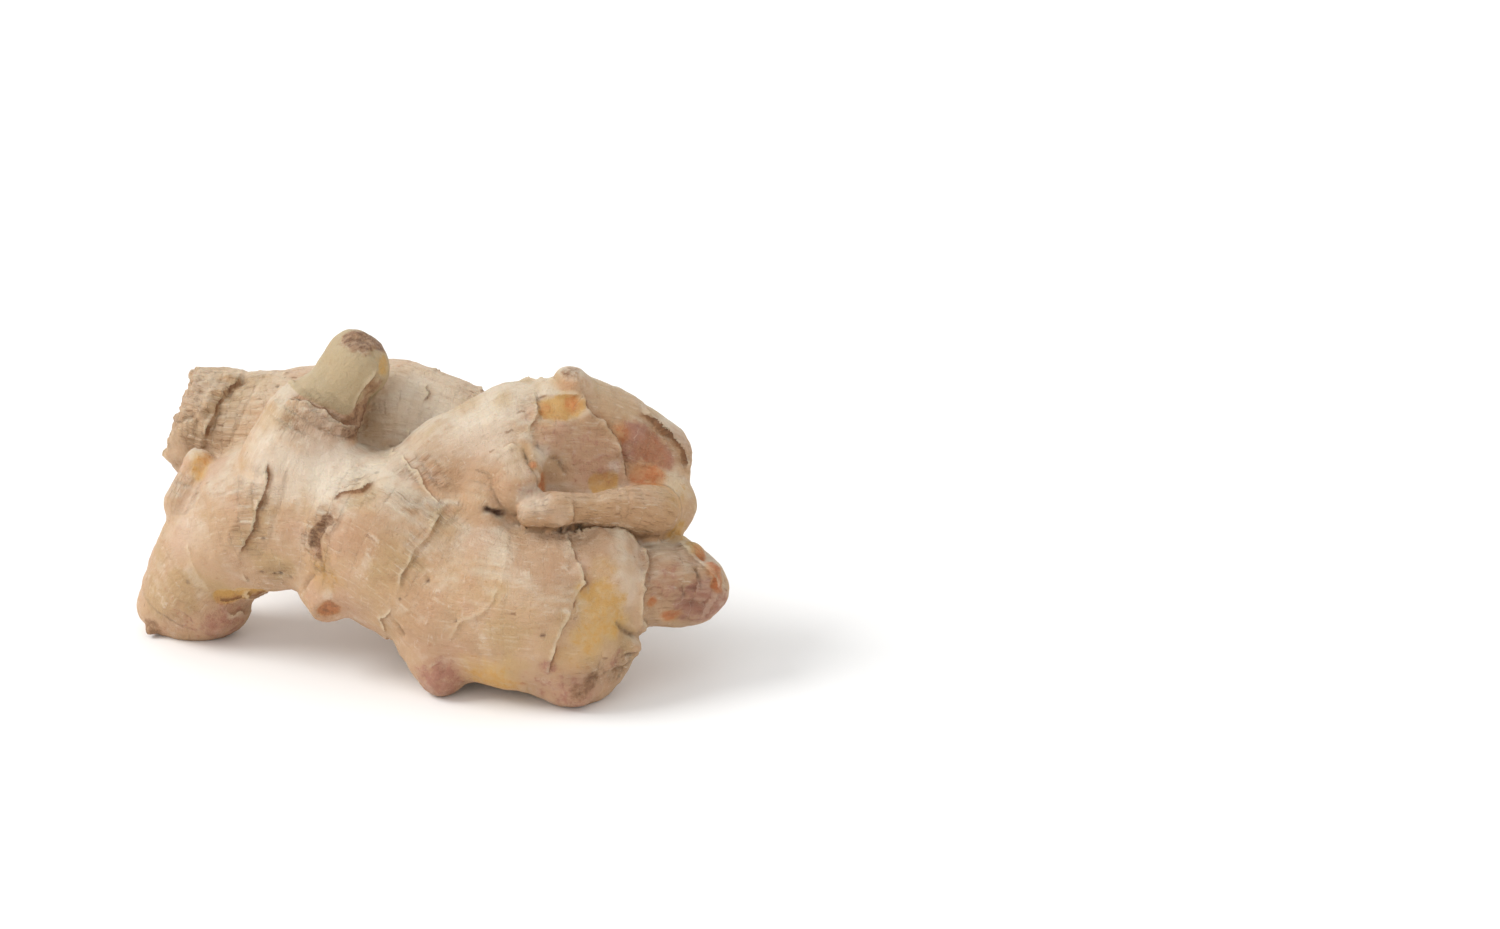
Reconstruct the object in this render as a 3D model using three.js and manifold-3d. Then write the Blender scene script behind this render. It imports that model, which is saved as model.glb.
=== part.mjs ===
// A fresh ginger rhizome, as it lies on a table: one solid that grew as a chain of swollen fingers.
// Millimetres, +Z up. The origin is on the table, under the middle of the rhizome's box. +X runs along its
// length, and +Y towards the side where the older mother finger lies.
import * as THREE from "three";
import { mergeVertices } from "three/addons/utils/BufferGeometryUtils.js";
import Module from "manifold-3d";

const wasm = await Module();
wasm.setup();

// ---------- Driving dimensions ----------
const cell = 3; // side of the sampling cubes, so about the length of the solid's edges
const sampleStep = 2.2; // spacing of the samples along a finger's spine
const scarHeight = 1.5; // how far the ridge of a leaf scar stands out
const lipWidth = 2.4; // the ridge's width on the side it grew from
const dropWidth = 1.3; // and on the far side, where it drops
const scarWobble = 0.9; // how far a scar strays to either side of its plane
const pinchDepth = 0.7; // how far a finger narrows towards a leaf scar
const pinchWidth = 5; // half the width of that narrowing
const scarReach = 1.7; // how far a scar's plane counts from the spine, as a share of the finger's radius
const lumpHeight = 0.7; // depth of the uneven lumps
const lumpWaves = [[0.24, 0.06, 0.15], [-0.09, 0.27, 0.11], [0.14, -0.13, 0.26], [0.37, 0.33, -0.22]];

// ---------- The fingers ----------
// beads: [x, y, z, radius] along the finger's middle.
// blend: how wide the web is where the finger leaves the others.
// scars: the leaf scars that ring it, each a plane: a point on the finger's middle, then the way it faces.
const fingers = {
  trunk: {
    beads: [[-45, 13, 26, 14], [-33.5, 9, 30.5, 16], [-20.5, 4, 31, 16.5], [-7, -2, 28, 19],
      [6, -8, 20.5, 18.6], [18.5, -13, 19.2, 18.4], [28, -15, 19.8, 16.8], [35.4, -14, 22.2, 12.8]],
    blend: 5,
    scars: [[-35.5, 10, 29.5, 0.92, -0.34, -0.22], [-14.5, 1.5, 29.5, 0.69, -0.66, -0.32],
      [-1, -5, 24.5, 0.87, -0.28, -0.41], [11, -10, 20, 0.86, -0.12, -0.49],
      [26.5, -13.5, 18.5, 0.93, 0.23, -0.29]],
  },
  leg: {
    beads: [[-39.5, 12, 28.5, 14.4], [-48.5, 14, 21.5, 13], [-55.3, 16, 13, 11.6], [-57.3, 17, 8.7, 10.2]],
    blend: 6,
    scars: [[-49, 14, 21, 0.88, -0.3, 0.36]],
  },
  toe: { beads: [[-53.5, 15, 10.5, 9.2], [-50.6, 14, 7.2, 7.2]], blend: 5, scars: [] },
  heel: { beads: [[-58.6, 18, 9, 8.8], [-63, 18, 5.6, 6.4]], blend: 4, scars: [] },
  rightEnd: {
    beads: [[37.6, -13, 22.5, 11.4], [44.1, -12, 21.8, 9.6], [49.6, -10.5, 22, 9.6], [54, -9, 21.4, 9.4],
      [57.5, -7.5, 20, 8.2]],
    blend: 4,
    scars: [[47.8, -11, 22, 1, 0.07, 0]],
  },
  branch: {
    beads: [[-4.7, 0, 37.3, 12.8], [8.6, 3, 46.2, 11.8], [19.6, 5, 50.4, 13], [31.6, 8, 50.1, 13.5],
      [42.4, 10, 46.2, 11.1], [48.3, 11, 44.4, 9]],
    blend: 5,
    scars: [[-2.5, 0.5, 39, 0.85, 0.37, 0.38], [24, 6, 50.5, 1, 0, 0.02], [31.5, 8, 50, 0.65, 0.66, 0.38]],
  },
  web: {
    beads: [[12, -5, 37, 8], [30, -1, 36.5, 9], [46, 4, 36.5, 8.6], [51, 2, 35.6, 7.4]],
    blend: 5,
    scars: [],
  },
  knob: {
    beads: [[13.9, -10.5, 41, 4.8], [17.5, -6.5, 46.7, 6.8], [20.3, -12, 45.5, 5.6]],
    blend: 3.5,
    scars: [[18.5, -8, 46.5, 0.6, -0.75, -0.3]],
  },
  topBud: { beads: [[29.3, 5, 58.6, 6.6], [30.9, 5, 62.8, 4.7]], blend: 3, scars: [] },
  tongue: {
    beads: [[49.5, -5, 37, 5.5], [45.5, -8, 39.1, 5.3], [41, -10, 40, 4.3], [36.5, -12, 40.5, 3.8],
      [31.8, -14, 41.4, 3.8], [27.4, -16, 41.9, 4], [22.9, -17.5, 41.7, 3.1]],
    blend: 2,
    scars: [[42, -9.5, 39, -0.9, -0.4, 0.1]],
  },
  stub: {
    beads: [[-30.4, 8, 46.3, 11.1], [-27, 9.5, 52.9, 9.8], [-23.8, 10.5, 56.9, 8.6],
      [-20.9, 11.5, 60.2, 7.8], [-17.2, 12.8, 64.4, 7.7]],
    blend: 8,
    scars: [[-25, 10.2, 55, 0.45, 0.15, 0.88]],
  },
  lowerBud: { beads: [[-24.4, -3, 21.3, 6.6], [-22.3, -9, 17.8, 4.6]], blend: 3, scars: [] },
  sideBud: { beads: [[-56.5, 13, 32.8, 5], [-53.8, 15, 40, 3.1]], blend: 3, scars: [] },
  mother: {
    beads: [[16, 24, 42, 8], [7, 22, 44.2, 11.7], [-3.2, 25, 46, 14.3], [-13.7, 28, 45.9, 15],
      [-27.7, 30, 44.2, 14.6], [-44, 33, 43.4, 13.3], [-54.6, 35, 45, 11.6], [-64, 36, 46.8, 10]],
    blend: 4.5,
    scars: [[-46.5, 33.5, 43.5, 0.89, -0.44, -0.12], [-31, 30.5, 44, 0.94, 0.03, 0.33],
      [-17, 28.5, 45.5, 0.97, -0.1, 0], [-5, 25.5, 46, 0.94, -0.14, -0.32], [8, 22.5, 44, 0.97, 0.1, -0.2]],
  },
  oldFlap: { beads: [[-56, 33, 42, 8.5], [-55.2, 31.5, 36, 6.5], [-54, 30, 32, 4.5]], blend: 3, scars: [] },
  backBud: { beads: [[-24, 41, 50, 7], [-23, 46, 54, 5]], blend: 3, scars: [] },
  noseBud: { beads: [[2, -16, 8.8, 7.9], [2.7, -20, 5.3, 5]], blend: 4, scars: [] },
  foot: { beads: [[20, -19.5, 11.4, 9.9], [31.6, -19, 12.8, 13], [36.7, -18, 10, 8.5]], blend: 4, scars: [] },
  footTip: { beads: [[31.6, -21, 9, 9.7], [32.1, -23, 5.2, 5.7]], blend: 4, scars: [] },
  backFoot: {
    beads: [[5, 16, 31, 13], [9, 27, 22, 11.5], [11, 35, 12, 10], [12, 37, 9, 9.5]],
    blend: 6,
    scars: [[8, 25, 24, 0.2, 0.7, -0.6]],
  },
};

// ---------- What is cut away ----------
// Each cut takes what lies in a cube just beyond a plane. The plane is a point and the way it faces.
const cuts = {
  brokenShoot: { at: [-11.2, 10.6, 69.8], facing: [0.72, -0.35, 0.6], side: 20 },
  tornMother: { at: [-60.5, 34, 46], facing: [-0.93, 0, 0.36], side: 36 },
  rootScar: { at: [-21.9, -12.2, 16.2], facing: [0.12, -0.86, -0.5], side: 10 },
};

// Where the middle of the rhizome's box lies in the tables above. The origin goes there, on the table.
const middle = [-1.85, 8.77];

// A finger as samples along its spine, each with its place and its radius, and its scars as planes.
function sampled({ beads, blend, scars }) {
  const curve = (points) => new THREE.CatmullRomCurve3(points, false, "catmullrom");
  const line = curve(beads.map(([x, y, z]) => new THREE.Vector3(x, y, z)));
  const size = curve(beads.map(([, , , r]) => new THREE.Vector3(r, 0, 0)));
  const count = Math.max(2, Math.ceil(line.getLength() / sampleStep));
  const samples = [];
  for (let i = 0; i <= count; i++) {
    const at = line.getPoint(i / count);
    samples.push({ at, radius: size.getPoint(i / count).x });
  }
  const planes = scars.map(([x, y, z, ...facing]) => {
    const at = new THREE.Vector3(x, y, z);
    const nearest = samples.reduce((a, b) => (a.at.distanceTo(at) < b.at.distanceTo(at) ? a : b));
    return { at, facing: new THREE.Vector3(...facing).normalize(), reach: nearest.radius * scarReach };
  });
  return { samples, blend, planes };
}
const grown = Object.values(fingers).map(sampled);

const toPoint = new THREE.Vector3();
const span = new THREE.Vector3();
function fingerDistance(samples, point) {
  let nearest = Infinity;
  for (let i = 1; i < samples.length; i++) {
    const from = samples[i - 1];
    const to = samples[i];
    span.subVectors(to.at, from.at);
    toPoint.subVectors(point, from.at);
    const share = THREE.MathUtils.clamp(toPoint.dot(span) / span.lengthSq(), 0, 1);
    const radius = THREE.MathUtils.lerp(from.radius, to.radius, share);
    nearest = Math.min(nearest, toPoint.addScaledVector(span, -share).length() - radius);
  }
  return nearest;
}

// How far a point is past a scar's wavy plane, and how strongly the scar shows: 1, fading to 0 at its reach.
function pastScar({ at, facing, reach }, point) {
  toPoint.subVectors(point, at);
  const wave = Math.sin(0.42 * point.x + 0.55 * point.z) * Math.cos(0.47 * point.y + 0.3 * point.z);
  const strength = 1 - THREE.MathUtils.smoothstep(toPoint.length(), reach * 0.75, reach);
  return { past: toPoint.dot(facing) + scarWobble * wave, strength };
}

// Relief of the leaf scars: the finger narrows a little towards each, and the scar stands out as a ridge.
function scarRelief(planes, point) {
  let height = 0;
  for (const plane of planes) {
    const { past, strength } = pastScar(plane, point);
    const ridge = scarHeight * Math.exp(-((past / (past < 0 ? lipWidth : dropWidth)) ** 2));
    const pinch = pinchDepth * Math.exp(-((past / pinchWidth) ** 2));
    height += strength * (ridge - pinch);
  }
  return height;
}

function smoothMinimum(a, b, width) {
  const overlap = Math.max(width - Math.abs(a - b), 0) / width;
  return Math.min(a, b) - (overlap * overlap * width) / 4;
}

// Signed distance to the skin, in mm: negative inside the rhizome.
function skin(point) {
  let distance = Infinity;
  for (const { samples, blend, planes } of grown) {
    const next = fingerDistance(samples, point) - scarRelief(planes, point);
    distance = distance === Infinity ? next : smoothMinimum(distance, next, blend);
  }
  for (const [x, y, z] of lumpWaves)
    distance -= (lumpHeight / lumpWaves.length) * Math.sin(point.x * x + point.y * y + point.z * z);
  return distance;
}

// ---------- From the field to a closed mesh ----------
const axes = [[1, 0, 0], [0, 1, 0], [0, 0, 1]];

// Where the inside touches itself only across the diagonal of a square of the grid, one corner more is filled,
// because two sheets of skin would meet along one edge there.
function fillPinches(values, size, index) {
  let pinched = true;
  while (pinched) {
    pinched = false;
    for (let k = 0; k + 1 < size.z; k++)
      for (let j = 0; j + 1 < size.y; j++)
        for (let i = 0; i + 1 < size.x; i++)
          axes.forEach((u, n) => {
            const v = axes[(n + 1) % 3];
            const corner = ([s, t]) =>
              index(i + s * u[0] + t * v[0], j + s * u[1] + t * v[1], k + s * u[2] + t * v[2]);
            const pairs = [[[0, 0], [1, 1]], [[1, 0], [0, 1]]].map((pair) => pair.map(corner));
            const insides = pairs.map((pair) => pair.map((at) => values[at] < 0));
            if (insides.some(([a, b]) => a !== b) || insides[0][0] === insides[1][0]) return;
            const [a, b] = pairs[insides[0][0] ? 1 : 0];
            values[values[a] < values[b] ? a : b] = -0.02 * cell;
            pinched = true;
          });
  }
}

// One vertex in each cube that the skin crosses, and one quad across each grid edge that it crosses.
function netOver(field, box) {
  const size = box.getSize(new THREE.Vector3()).divideScalar(cell).ceil().addScalar(1);
  const index = (i, j, k) => i + size.x * (j + size.y * k);
  const values = new Float32Array(size.x * size.y * size.z);
  const at = (i, j, k) => new THREE.Vector3(i, j, k).multiplyScalar(cell).add(box.min);
  for (let k = 0; k < size.z; k++)
    for (let j = 0; j < size.y; j++)
      for (let i = 0; i < size.x; i++) values[index(i, j, k)] = field(at(i, j, k));
  fillPinches(values, size, index);

  const corners = [];
  for (let c = 0; c < 8; c++) corners.push([c & 1, (c >> 1) & 1, c >> 2]);
  const points = [];
  const vertexOf = new Map();
  for (let k = 0; k + 1 < size.z; k++)
    for (let j = 0; j + 1 < size.y; j++)
      for (let i = 0; i + 1 < size.x; i++) {
        const middle = new THREE.Vector3();
        let crossings = 0;
        corners.forEach(([a, b, c], near) => {
          for (const step of [1, 2, 4]) {
            if (near & step) continue;
            const [d, e, f] = corners[near | step];
            const low = values[index(i + a, j + b, k + c)];
            const high = values[index(i + d, j + e, k + f)];
            if (low < 0 === high < 0) continue;
            middle.add(at(i + a, j + b, k + c).lerp(at(i + d, j + e, k + f), low / (low - high)));
            crossings++;
          }
        });
        if (!crossings) continue;
        vertexOf.set(index(i, j, k), points.length);
        points.push(middle.divideScalar(crossings));
      }

  const faces = [];
  for (let k = 1; k + 1 < size.z; k++)
    for (let j = 1; j + 1 < size.y; j++)
      for (let i = 1; i + 1 < size.x; i++)
        axes.forEach((axis, n) => {
          const inside = values[index(i, j, k)] < 0;
          if (inside === values[index(i + axis[0], j + axis[1], k + axis[2])] < 0) return;
          const u = axes[(n + 1) % 3];
          const v = axes[(n + 2) % 3];
          const quad = [[0, 0], [1, 0], [1, 1], [0, 1]].map(([s, t]) =>
            vertexOf.get(index(i - s * u[0] - t * v[0], j - s * u[1] - t * v[1], k - s * u[2] - t * v[2])));
          if (!inside) quad.reverse();
          const [a, b, c, d] = quad;
          const split = points[a].distanceTo(points[c]) < points[b].distanceTo(points[d]);
          faces.push(...(split ? [a, b, c, a, c, d] : [a, b, d, b, c, d]));
        });
  return { points, faces };
}

// Draws the vertices beside a leaf scar onto its plane, so that the ridge keeps a crest.
function gatherOnScars(points) {
  for (const p of points)
    for (const { samples, planes } of grown)
      for (const plane of planes) {
        const { past, strength } = pastScar(plane, p);
        const beside = Math.abs(past) < cell * 0.35 && fingerDistance(samples, p) < cell / 2;
        if (beside && strength > 0.3) p.addScaledVector(plane.facing, -past * 0.85);
      }
}

// Moves each vertex along the field's slope until it lies on the skin.
function settle(field, points) {
  const reach = 0.05;
  for (let round = 0; round < 3; round++)
    for (const p of points) {
      const here = field(p);
      const slope = new THREE.Vector3(
        field(new THREE.Vector3(p.x + reach, p.y, p.z)) - here,
        field(new THREE.Vector3(p.x, p.y + reach, p.z)) - here,
        field(new THREE.Vector3(p.x, p.y, p.z + reach)) - here,
      ).divideScalar(reach);
      p.addScaledVector(slope, -THREE.MathUtils.clamp(here / slope.lengthSq(), -1, 1));
    }
}

function geometryOf({ points, faces }) {
  const geometry = new THREE.BufferGeometry().setFromPoints(points);
  geometry.setIndex(faces);
  return geometry;
}

function solidOf(geometry) {
  const bare = new THREE.BufferGeometry().setAttribute("position", geometry.getAttribute("position"));
  bare.setIndex(geometry.index);
  const merged = mergeVertices(bare, 1e-4);
  return new wasm.Manifold(new wasm.Mesh({
    numProp: 3,
    vertProperties: merged.attributes.position.array,
    triVerts: new Uint32Array(merged.index.array),
  }));
}

function meshGeometry(solid) {
  const { numProp, vertProperties, triVerts } = solid.getMesh();
  const positions = new Float32Array((vertProperties.length / numProp) * 3);
  for (let i = 0; i < positions.length / 3; i++)
    positions.set(vertProperties.subarray(i * numProp, i * numProp + 3), i * 3);
  const geometry = new THREE.BufferGeometry().setAttribute("position", new THREE.BufferAttribute(positions, 3));
  geometry.setIndex(new THREE.BufferAttribute(triVerts, 1));
  geometry.computeVertexNormals();
  return geometry;
}

// A block whose near face lies in the plane of a cut.
function cutBlock({ at, facing, side }) {
  const up = new THREE.Vector3(0, 0, 1);
  const turn = new THREE.Quaternion().setFromUnitVectors(up, new THREE.Vector3(...facing).normalize());
  const cube = new THREE.BoxGeometry(side, side, side).translate(0, 0, side / 2);
  return cube.applyQuaternion(turn).translate(...at);
}

const room = new THREE.Box3(new THREE.Vector3(-84, -44, -12), new THREE.Vector3(80, 66, 88));
const net = netOver(skin, room);
gatherOnScars(net.points);
settle(skin, net.points);
let rhizome = solidOf(geometryOf(net));
for (const cut of Object.values(cuts)) rhizome = rhizome.subtract(solidOf(cutBlock(cut)));
const table = new THREE.BoxGeometry(300, 300, 40).translate(0, 0, -20);
rhizome = rhizome.subtract(solidOf(table)).translate(-middle[0], -middle[1], 0);

const material = new THREE.MeshStandardMaterial({ color: 0xd9bd98, roughness: 0.62, metalness: 0 });
const mesh = new THREE.Mesh(meshGeometry(rhizome), material);
mesh.name = "rhizome";
const part = new THREE.Group();
part.add(mesh);
export default part;
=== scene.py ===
import math

import bpy
import numpy as np
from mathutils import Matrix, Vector, noise


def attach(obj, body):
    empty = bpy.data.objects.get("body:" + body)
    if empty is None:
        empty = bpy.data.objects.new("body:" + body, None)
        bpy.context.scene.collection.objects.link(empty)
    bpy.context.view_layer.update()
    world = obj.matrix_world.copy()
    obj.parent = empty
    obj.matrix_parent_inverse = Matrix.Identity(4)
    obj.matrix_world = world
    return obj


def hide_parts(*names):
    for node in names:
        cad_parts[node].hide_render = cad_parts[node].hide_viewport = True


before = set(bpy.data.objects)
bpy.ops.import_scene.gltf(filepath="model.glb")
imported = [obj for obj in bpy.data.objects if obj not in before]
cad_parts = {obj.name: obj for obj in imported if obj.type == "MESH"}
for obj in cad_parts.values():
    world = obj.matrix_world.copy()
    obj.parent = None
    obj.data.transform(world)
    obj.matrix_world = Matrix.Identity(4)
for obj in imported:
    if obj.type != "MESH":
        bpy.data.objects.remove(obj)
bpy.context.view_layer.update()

mm = 0.001
middle = np.array((-1.85, 8.77, 0.0))  # where the box's middle lies in the tables below, which are in mm


# The rhizome's growth. beads: x, y, z and radius along a finger's middle. blend: how wide its web with the
# others is.
fingers = {
    "trunk": {
        "beads": [(-45, 13, 26, 14), (-33.5, 9, 30.5, 16), (-20.5, 4, 31, 16.5), (-7, -2, 28, 19),
                  (6, -8, 20.5, 18.6), (18.5, -13, 19.2, 18.4), (28, -15, 19.8, 16.8),
                  (35.4, -14, 22.2, 12.8)],
        "blend": 5,
    },
    "leg": {
        "beads": [(-39.5, 12, 28.5, 14.4), (-48.5, 14, 21.5, 13), (-55.3, 16, 13, 11.6),
                  (-57.3, 17, 8.7, 10.2)],
        "blend": 6,
    },
    "toe": {"beads": [(-53.5, 15, 10.5, 9.2), (-50.6, 14, 7.2, 7.2)], "blend": 5},
    "heel": {"beads": [(-58.6, 18, 9, 8.8), (-63, 18, 5.6, 6.4)], "blend": 4},
    "rightEnd": {
        "beads": [(37.6, -13, 22.5, 11.4), (44.1, -12, 21.8, 9.6), (49.6, -10.5, 22, 9.6),
                  (54, -9, 21.4, 9.4), (57.5, -7.5, 20, 8.2)],
        "blend": 4,
    },
    "branch": {
        "beads": [(-4.7, 0, 37.3, 12.8), (8.6, 3, 46.2, 11.8), (19.6, 5, 50.4, 13), (31.6, 8, 50.1, 13.5),
                  (42.4, 10, 46.2, 11.1), (48.3, 11, 44.4, 9)],
        "blend": 5,
    },
    "web": {
        "beads": [(12, -5, 37, 8), (30, -1, 36.5, 9), (46, 4, 36.5, 8.6), (51, 2, 35.6, 7.4)],
        "blend": 5,
    },
    "knob": {
        "beads": [(13.9, -10.5, 41, 4.8), (17.5, -6.5, 46.7, 6.8), (20.3, -12, 45.5, 5.6)],
        "blend": 3.5,
    },
    "topBud": {"beads": [(29.3, 5, 58.6, 6.6), (30.9, 5, 62.8, 4.7)], "blend": 3},
    "tongue": {
        "beads": [(49.5, -5, 37, 5.5), (45.5, -8, 39.1, 5.3), (41, -10, 40, 4.3), (36.5, -12, 40.5, 3.8),
                  (31.8, -14, 41.4, 3.8), (27.4, -16, 41.9, 4), (22.9, -17.5, 41.7, 3.1)],
        "blend": 2,
    },
    "stub": {
        "beads": [(-30.4, 8, 46.3, 11.1), (-27, 9.5, 52.9, 9.8), (-23.8, 10.5, 56.9, 8.6),
                  (-20.9, 11.5, 60.2, 7.8), (-17.2, 12.8, 64.4, 7.7)],
        "blend": 8,
    },
    "lowerBud": {"beads": [(-24.4, -3, 21.3, 6.6), (-22.3, -9, 17.8, 4.6)], "blend": 3},
    "sideBud": {"beads": [(-56.5, 13, 32.8, 5), (-53.8, 15, 40, 3.1)], "blend": 3},
    "mother": {
        "beads": [(16, 24, 42, 8), (7, 22, 44.2, 11.7), (-3.2, 25, 46, 14.3), (-13.7, 28, 45.9, 15),
                  (-27.7, 30, 44.2, 14.6), (-44, 33, 43.4, 13.3), (-54.6, 35, 45, 11.6),
                  (-64, 36, 46.8, 10)],
        "blend": 4.5,
    },
    "oldFlap": {"beads": [(-56, 33, 42, 8.5), (-55.2, 31.5, 36, 6.5), (-54, 30, 32, 4.5)], "blend": 3},
    "backBud": {"beads": [(-24, 41, 50, 7), (-23, 46, 54, 5)], "blend": 3},
    "noseBud": {"beads": [(2, -16, 8.8, 7.9), (2.7, -20, 5.3, 5)], "blend": 4},
    "foot": {"beads": [(20, -19.5, 11.4, 9.9), (31.6, -19, 12.8, 13), (36.7, -18, 10, 8.5)], "blend": 4},
    "footTip": {"beads": [(31.6, -21, 9, 9.7), (32.1, -23, 5.2, 5.7)], "blend": 4},
    "backFoot": {
        "beads": [(5, 16, 31, 13), (9, 27, 22, 11.5), (11, 35, 12, 10), (12, 37, 9, 9.5)],
        "blend": 6,
    },
}

# Leaf scars: each rings a finger, in the plane through at that faces along facing. The skin stands up by lip
# before it. A scar with the name of one of the tears below shows only away from that tear.
scars = {
    "tornEdge": {"finger": "trunk", "at": (-35.5, 10, 29.5), "facing": (0.92, -0.34, -0.22), "lip": 0.7},
    "scabEdge": {"finger": "trunk", "at": (-14.5, 1.5, 29.5), "facing": (0.69, -0.66, -0.32), "lip": 0.5},
    "foldedEdge": {"finger": "trunk", "at": (-1, -5, 24.5), "facing": (0.87, -0.28, -0.41), "lip": 0.5},
    "thinLine": {"finger": "trunk", "at": (11, -10, 20), "facing": (0.86, -0.12, -0.49), "lip": 0.35},
    "lobeEdge": {"finger": "trunk", "at": (26.5, -13.5, 18.5), "facing": (0.93, 0.23, -0.29), "lip": 0.6},
    "legLine": {"finger": "leg", "at": (-49, 14, 21), "facing": (0.88, -0.3, 0.36), "lip": 0.4},
    "neckEdge": {"finger": "rightEnd", "at": (47.8, -11, 22), "facing": (1, 0.07, 0), "lip": 0.6},
    "branchFoot": {"finger": "branch", "at": (-2.5, 0.5, 39), "facing": (0.85, 0.37, 0.38), "lip": 0.1},
    "branchEdge": {"finger": "branch", "at": (24, 6, 50.5), "facing": (1, 0, 0.02), "lip": 0.7},
    "plateEdge": {"finger": "branch", "at": (31.5, 8, 50), "facing": (0.65, 0.66, 0.38), "lip": 0.7},
    "collar": {"finger": "stub", "at": (-22.8, 10.8, 58), "facing": (0.42, 0.14, 0.88), "lip": 0.9},
    "oldEdge": {"finger": "mother", "at": (-46.5, 33.5, 43.5), "facing": (0.89, -0.44, -0.12), "lip": 1.2},
    "oldLine": {"finger": "mother", "at": (-31, 30.5, 44), "facing": (0.94, 0.03, 0.33), "lip": 0.3},
    "oldMiddle": {"finger": "mother", "at": (-17, 28.5, 45.5), "facing": (0.97, -0.1, 0), "lip": 0.5},
    "oldFibres": {"finger": "mother", "at": (-5, 25.5, 46), "facing": (0.94, -0.14, -0.32), "lip": 0.6},
    "oldRoot": {"finger": "mother", "at": (8, 22.5, 44), "facing": (0.97, 0.1, -0.2), "lip": 0.6},
    "footRing": {"finger": "backFoot", "at": (8, 25, 24), "facing": (0.2, 0.7, -0.6), "lip": 0.8},
}

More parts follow.
